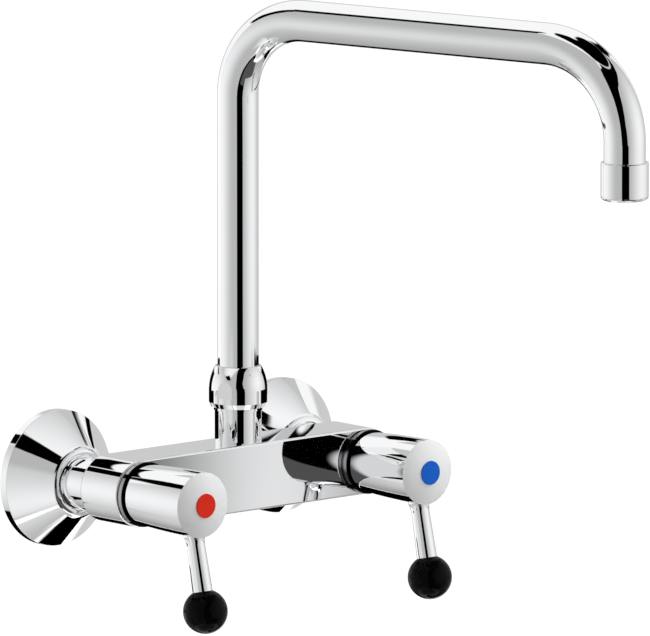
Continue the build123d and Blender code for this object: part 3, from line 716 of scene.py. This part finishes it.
class TAP_OT_chrome(bpy.types.Operator):
    """Polished chrome on the body, roses, nuts, handles, levers, spout and aerator sleeve"""

    bl_idname = "tap.chrome"
    bl_label = "Chrome pieces"

    def execute(self, context):
        colours = context.scene.tap_colours
        chrome = finish("polished_chrome", colours.chrome, shade=0.985, cloud=25.0,
                        rough=(0.012, 0.03), metallic=1.0)
        dress("chrome", chrome)
        return {"FINISHED"}


class TAP_OT_rings(bpy.types.Operator):
    """Chrome on the trim rings, darkened with painted shade, and painted shade in the joints on
    both sides of each ring
    """

    bl_idname = "tap.rings"
    bl_label = "Trim rings"

    def execute(self, context):
        colours = context.scene.tap_colours
        low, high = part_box("hot_trim_ring")
        # Painted shade: the trim rings get a darker chrome colour than the rest of the chrome
        ring = finish("ring_painted_shade", colours.ring, shade=0.9, cloud=60.0,
                      rough=(0.06, 0.12), metallic=1.0)
        # Painted shade in the joints at both ends of each ring
        paint_joint_shade(ring, low.y, high.y, RING_JOINT_SHADE_WIDTH)
        for side in SIDES:
            dress_node(side + "_trim_ring", ring)
        return {"FINISHED"}


class TAP_OT_brass(bpy.types.Operator):
    """Machined brass on the headworks, spindles and spigot"""

    bl_idname = "tap.brass"
    bl_label = "Brass pieces"

    def execute(self, context):
        colours = context.scene.tap_colours
        brass = finish("machined_brass", colours.brass, shade=0.82, cloud=90.0,
                       rough=(0.2, 0.34), metallic=1.0, grain=(1800.0, 0.12, 0.00008))
        dress("brass", brass)
        return {"FINISHED"}


class TAP_OT_caps(bpy.types.Operator):
    """Satin end caps with their red and blue dots"""

    bl_idname = "tap.caps"
    bl_label = "Caps and dots"

    def execute(self, context):
        colours = context.scene.tap_colours
        satin = finish("satin_cap", colours.cap, shade=0.96, cloud=60.0,
                       rough=(0.34, 0.4), metallic=0.25, grain=(5200.0, 0.08, 0.00004))
        dress("satin_cap", satin)
        for slot, colour in (("hot_red", colours.red), ("cold_blue", colours.blue)):
            dot = finish(slot + "_dot", colour, shade=0.9, cloud=140.0,
                         rough=(0.24, 0.32), specular=0.1, grain=(3500.0, 0.05, 0.00004))
            dress(slot, dot)
        return {"FINISHED"}


class TAP_OT_balls(bpy.types.Operator):
    """Glossy black balls at the ends of the levers"""

    bl_idname = "tap.balls"
    bl_label = "Ball knobs"

    def execute(self, context):
        colours = context.scene.tap_colours
        black = finish("glossy_black", colours.black, shade=0.7, cloud=80.0,
                       rough=(0.1, 0.16), specular=0.06, grain=(900.0, 0.04, 0.00005))
        dress("black_plastic", black)
        return {"FINISHED"}


class TAP_OT_inner(bpy.types.Operator):
    """Rubber, plastic, ceramic and steel of the pieces inside"""

    bl_idname = "tap.inner"
    bl_label = "Inner pieces"

    def execute(self, context):
        rubber = finish("moulded_rubber", SLOT_COLOURS["rubber"], shade=0.8, cloud=120.0,
                        rough=(0.55, 0.7), specular=0.3, grain=(2600.0, 0.2, 0.00008))
        dress("rubber", rubber)
        plastic = finish("white_moulding", SLOT_COLOURS["white_plastic"], shade=0.95, cloud=70.0,
                         rough=(0.34, 0.46), grain=(2200.0, 0.1, 0.00006))
        dress("white_plastic", plastic)
        ceramic = finish("lapped_ceramic", SLOT_COLOURS["ceramic"], shade=0.97, cloud=110.0,
                         rough=(0.14, 0.22), grain=(4200.0, 0.04, 0.00003))
        dress("ceramic", ceramic)
        steel = finish("turned_steel", SLOT_COLOURS["steel"], shade=0.88, cloud=150.0,
                       rough=(0.24, 0.36), metallic=1.0, grain=(2400.0, 0.1, 0.00006))
        dress("steel", steel)
        return {"FINISHED"}


class TAP_OT_tails(bpy.types.Operator):
    """Inlet connectors with the real helical thread for the wall"""

    bl_idname = "tap.tails"
    bl_label = "Threaded tails"

    def execute(self, context):
        sizes = context.scene.tap_tails
        brass = bpy.data.materials["machined_brass"]
        for side in SIDES:
            node = side + "_inlet_connector"
            low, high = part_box(node)
            flange_r = (high.x - low.x) / 2
            points = tail_points(sizes, (low.x + high.x) / 2, low.y, high.y, flange_r)
            mesh = grid_mesh(side + "_threaded_tail", points, True, True)
            mesh.polygons.foreach_set("use_smooth", np.ones(len(mesh.polygons), dtype=bool))
            mesh.set_sharp_from_angle(angle=SHARP_ANGLE)
            mesh.materials.append(brass)
            piece = add_object(side + "_threaded_tail", mesh)
            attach(piece, FIXED_BODY)
            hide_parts(node)
        return {"FINISHED"}


class TAP_OT_stage(bpy.types.Operator):
    """Pale floor, reflection cards, soft lamps, white room and the camera"""

    bl_idname = "tap.stage"
    bl_label = "Stage"

    def execute(self, context):
        sizes = context.scene.tap_stage
        scene = context.scene
        scene.view_settings.view_transform = "Standard"
        points = floor_points(sizes.floor_r, sizes.floor_z)
        floor = add_object("floor", grid_mesh("floor", points, False, True))
        floor.data.materials.append(floor_material())
        self.cards(sizes)
        soft_lamp("key_lamp", KEY_LAMP, sizes.key_power)
        soft_lamp("fill_lamp", FILL_LAMP, sizes.fill_power)
        self.white_room(scene, sizes)
        self.camera(scene)
        return {"FINISHED"}

    def cards(self, sizes):
        """Reflection cards, which only the gloss sees."""
        meshes = []
        for order, (name, rows, soft, glow) in enumerate(BENT_CARDS):
            step = CARD_STEP * order
            meshes.append(card_mesh(
                name, rows, soft, glow, sizes.card_r - step, CARD_FLOOR_ROOM + step,
                sizes.floor_z))
        meshes += [near_card_mesh(*near) for near in NEAR_CARDS]
        material = card_material()
        for mesh in meshes:
            mesh.materials.append(material)
            card = add_object(mesh.name, mesh)
            card.visible_camera = False
            card.visible_diffuse = False
            card.visible_shadow = False
            card.visible_transmission = False
            card.visible_volume_scatter = False

    def white_room(self, scene, sizes):
        """World that is white to look at and in the gloss, and lights the tap evenly."""
        world = bpy.data.worlds.new("white_room")
        world.use_nodes = True
        nodes, links = world.node_tree.nodes, world.node_tree.links
        nodes.clear()
        out = nodes.new("ShaderNodeOutputWorld")
        pick = nodes.new("ShaderNodeMixShader")
        falling = nodes.new("ShaderNodeBackground")
        falling.inputs["Strength"].default_value = sizes.sky
        seen = nodes.new("ShaderNodeBackground")
        for shade in (falling, seen):
            shade.inputs["Color"].default_value = WHITE
        links.new(seen_rays(nodes, links), pick.inputs[SHARE])
        links.new(falling.outputs[0], pick.inputs[SHADER_A])
        links.new(seen.outputs[0], pick.inputs[SHADER_B])
        links.new(pick.outputs[0], out.inputs["Surface"])
        scene.world = world

    def camera(self, scene):
        """Long lens at the photograph's viewing angle."""
        back, right, up = camera_frame()
        data = bpy.data.cameras.new("camera")
        data.sensor_width = SENSOR_WIDTH
        data.lens = PIXELS_PER_METRE * CAMERA_DISTANCE / IMAGE_WIDTH * SENSOR_WIDTH
        data.clip_start, data.clip_end = CAMERA_CLIP
        holder = bpy.data.objects.new("camera", data)
        target = AIM + right * AIM_RIGHT + up * AIM_UP
        turned = Matrix((right, up, back)).transposed().to_4x4()
        holder.matrix_world = Matrix.Translation(target + back * CAMERA_DISTANCE) @ turned
        scene.collection.objects.link(holder)
        scene.camera = holder


OPERATORS = (
    TAP_OT_chrome, TAP_OT_rings, TAP_OT_brass, TAP_OT_caps, TAP_OT_balls, TAP_OT_inner,
    TAP_OT_tails, TAP_OT_stage,
)


class TAP_PT_panel(bpy.types.Panel):
    """Lists the tap's pieces and finishes"""

    bl_idname = "TAP_PT_panel"
    bl_label = "Wall mixer tap"
    bl_space_type = "VIEW_3D"
    bl_region_type = "UI"
    bl_category = "Tap"

    def draw(self, context):
        for operator in OPERATORS:
            self.layout.operator(operator.bl_idname)


CLASSES = (TailSizes, FinishColours, StageSizes, *OPERATORS, TAP_PT_panel)


def register():
    """Registers the classes and hangs the properties on the scene."""
    for item in CLASSES:
        bpy.utils.register_class(item)
    bpy.types.Scene.tap_tails = PointerProperty(type=TailSizes)
    bpy.types.Scene.tap_colours = PointerProperty(type=FinishColours)
    bpy.types.Scene.tap_stage = PointerProperty(type=StageSizes)


def unregister():
    """Takes the properties and classes away again."""
    del bpy.types.Scene.tap_stage
    del bpy.types.Scene.tap_colours
    del bpy.types.Scene.tap_tails
    for item in reversed(CLASSES):
        bpy.utils.unregister_class(item)


def main():
    """Builds the looks in order."""
    register()
    bpy.ops.tap.chrome()
    bpy.ops.tap.rings()
    bpy.ops.tap.brass()
    bpy.ops.tap.caps()
    bpy.ops.tap.balls()
    bpy.ops.tap.inner()
    bpy.ops.tap.tails()
    bpy.ops.tap.stage()


if __name__ == "__main__":
    main()
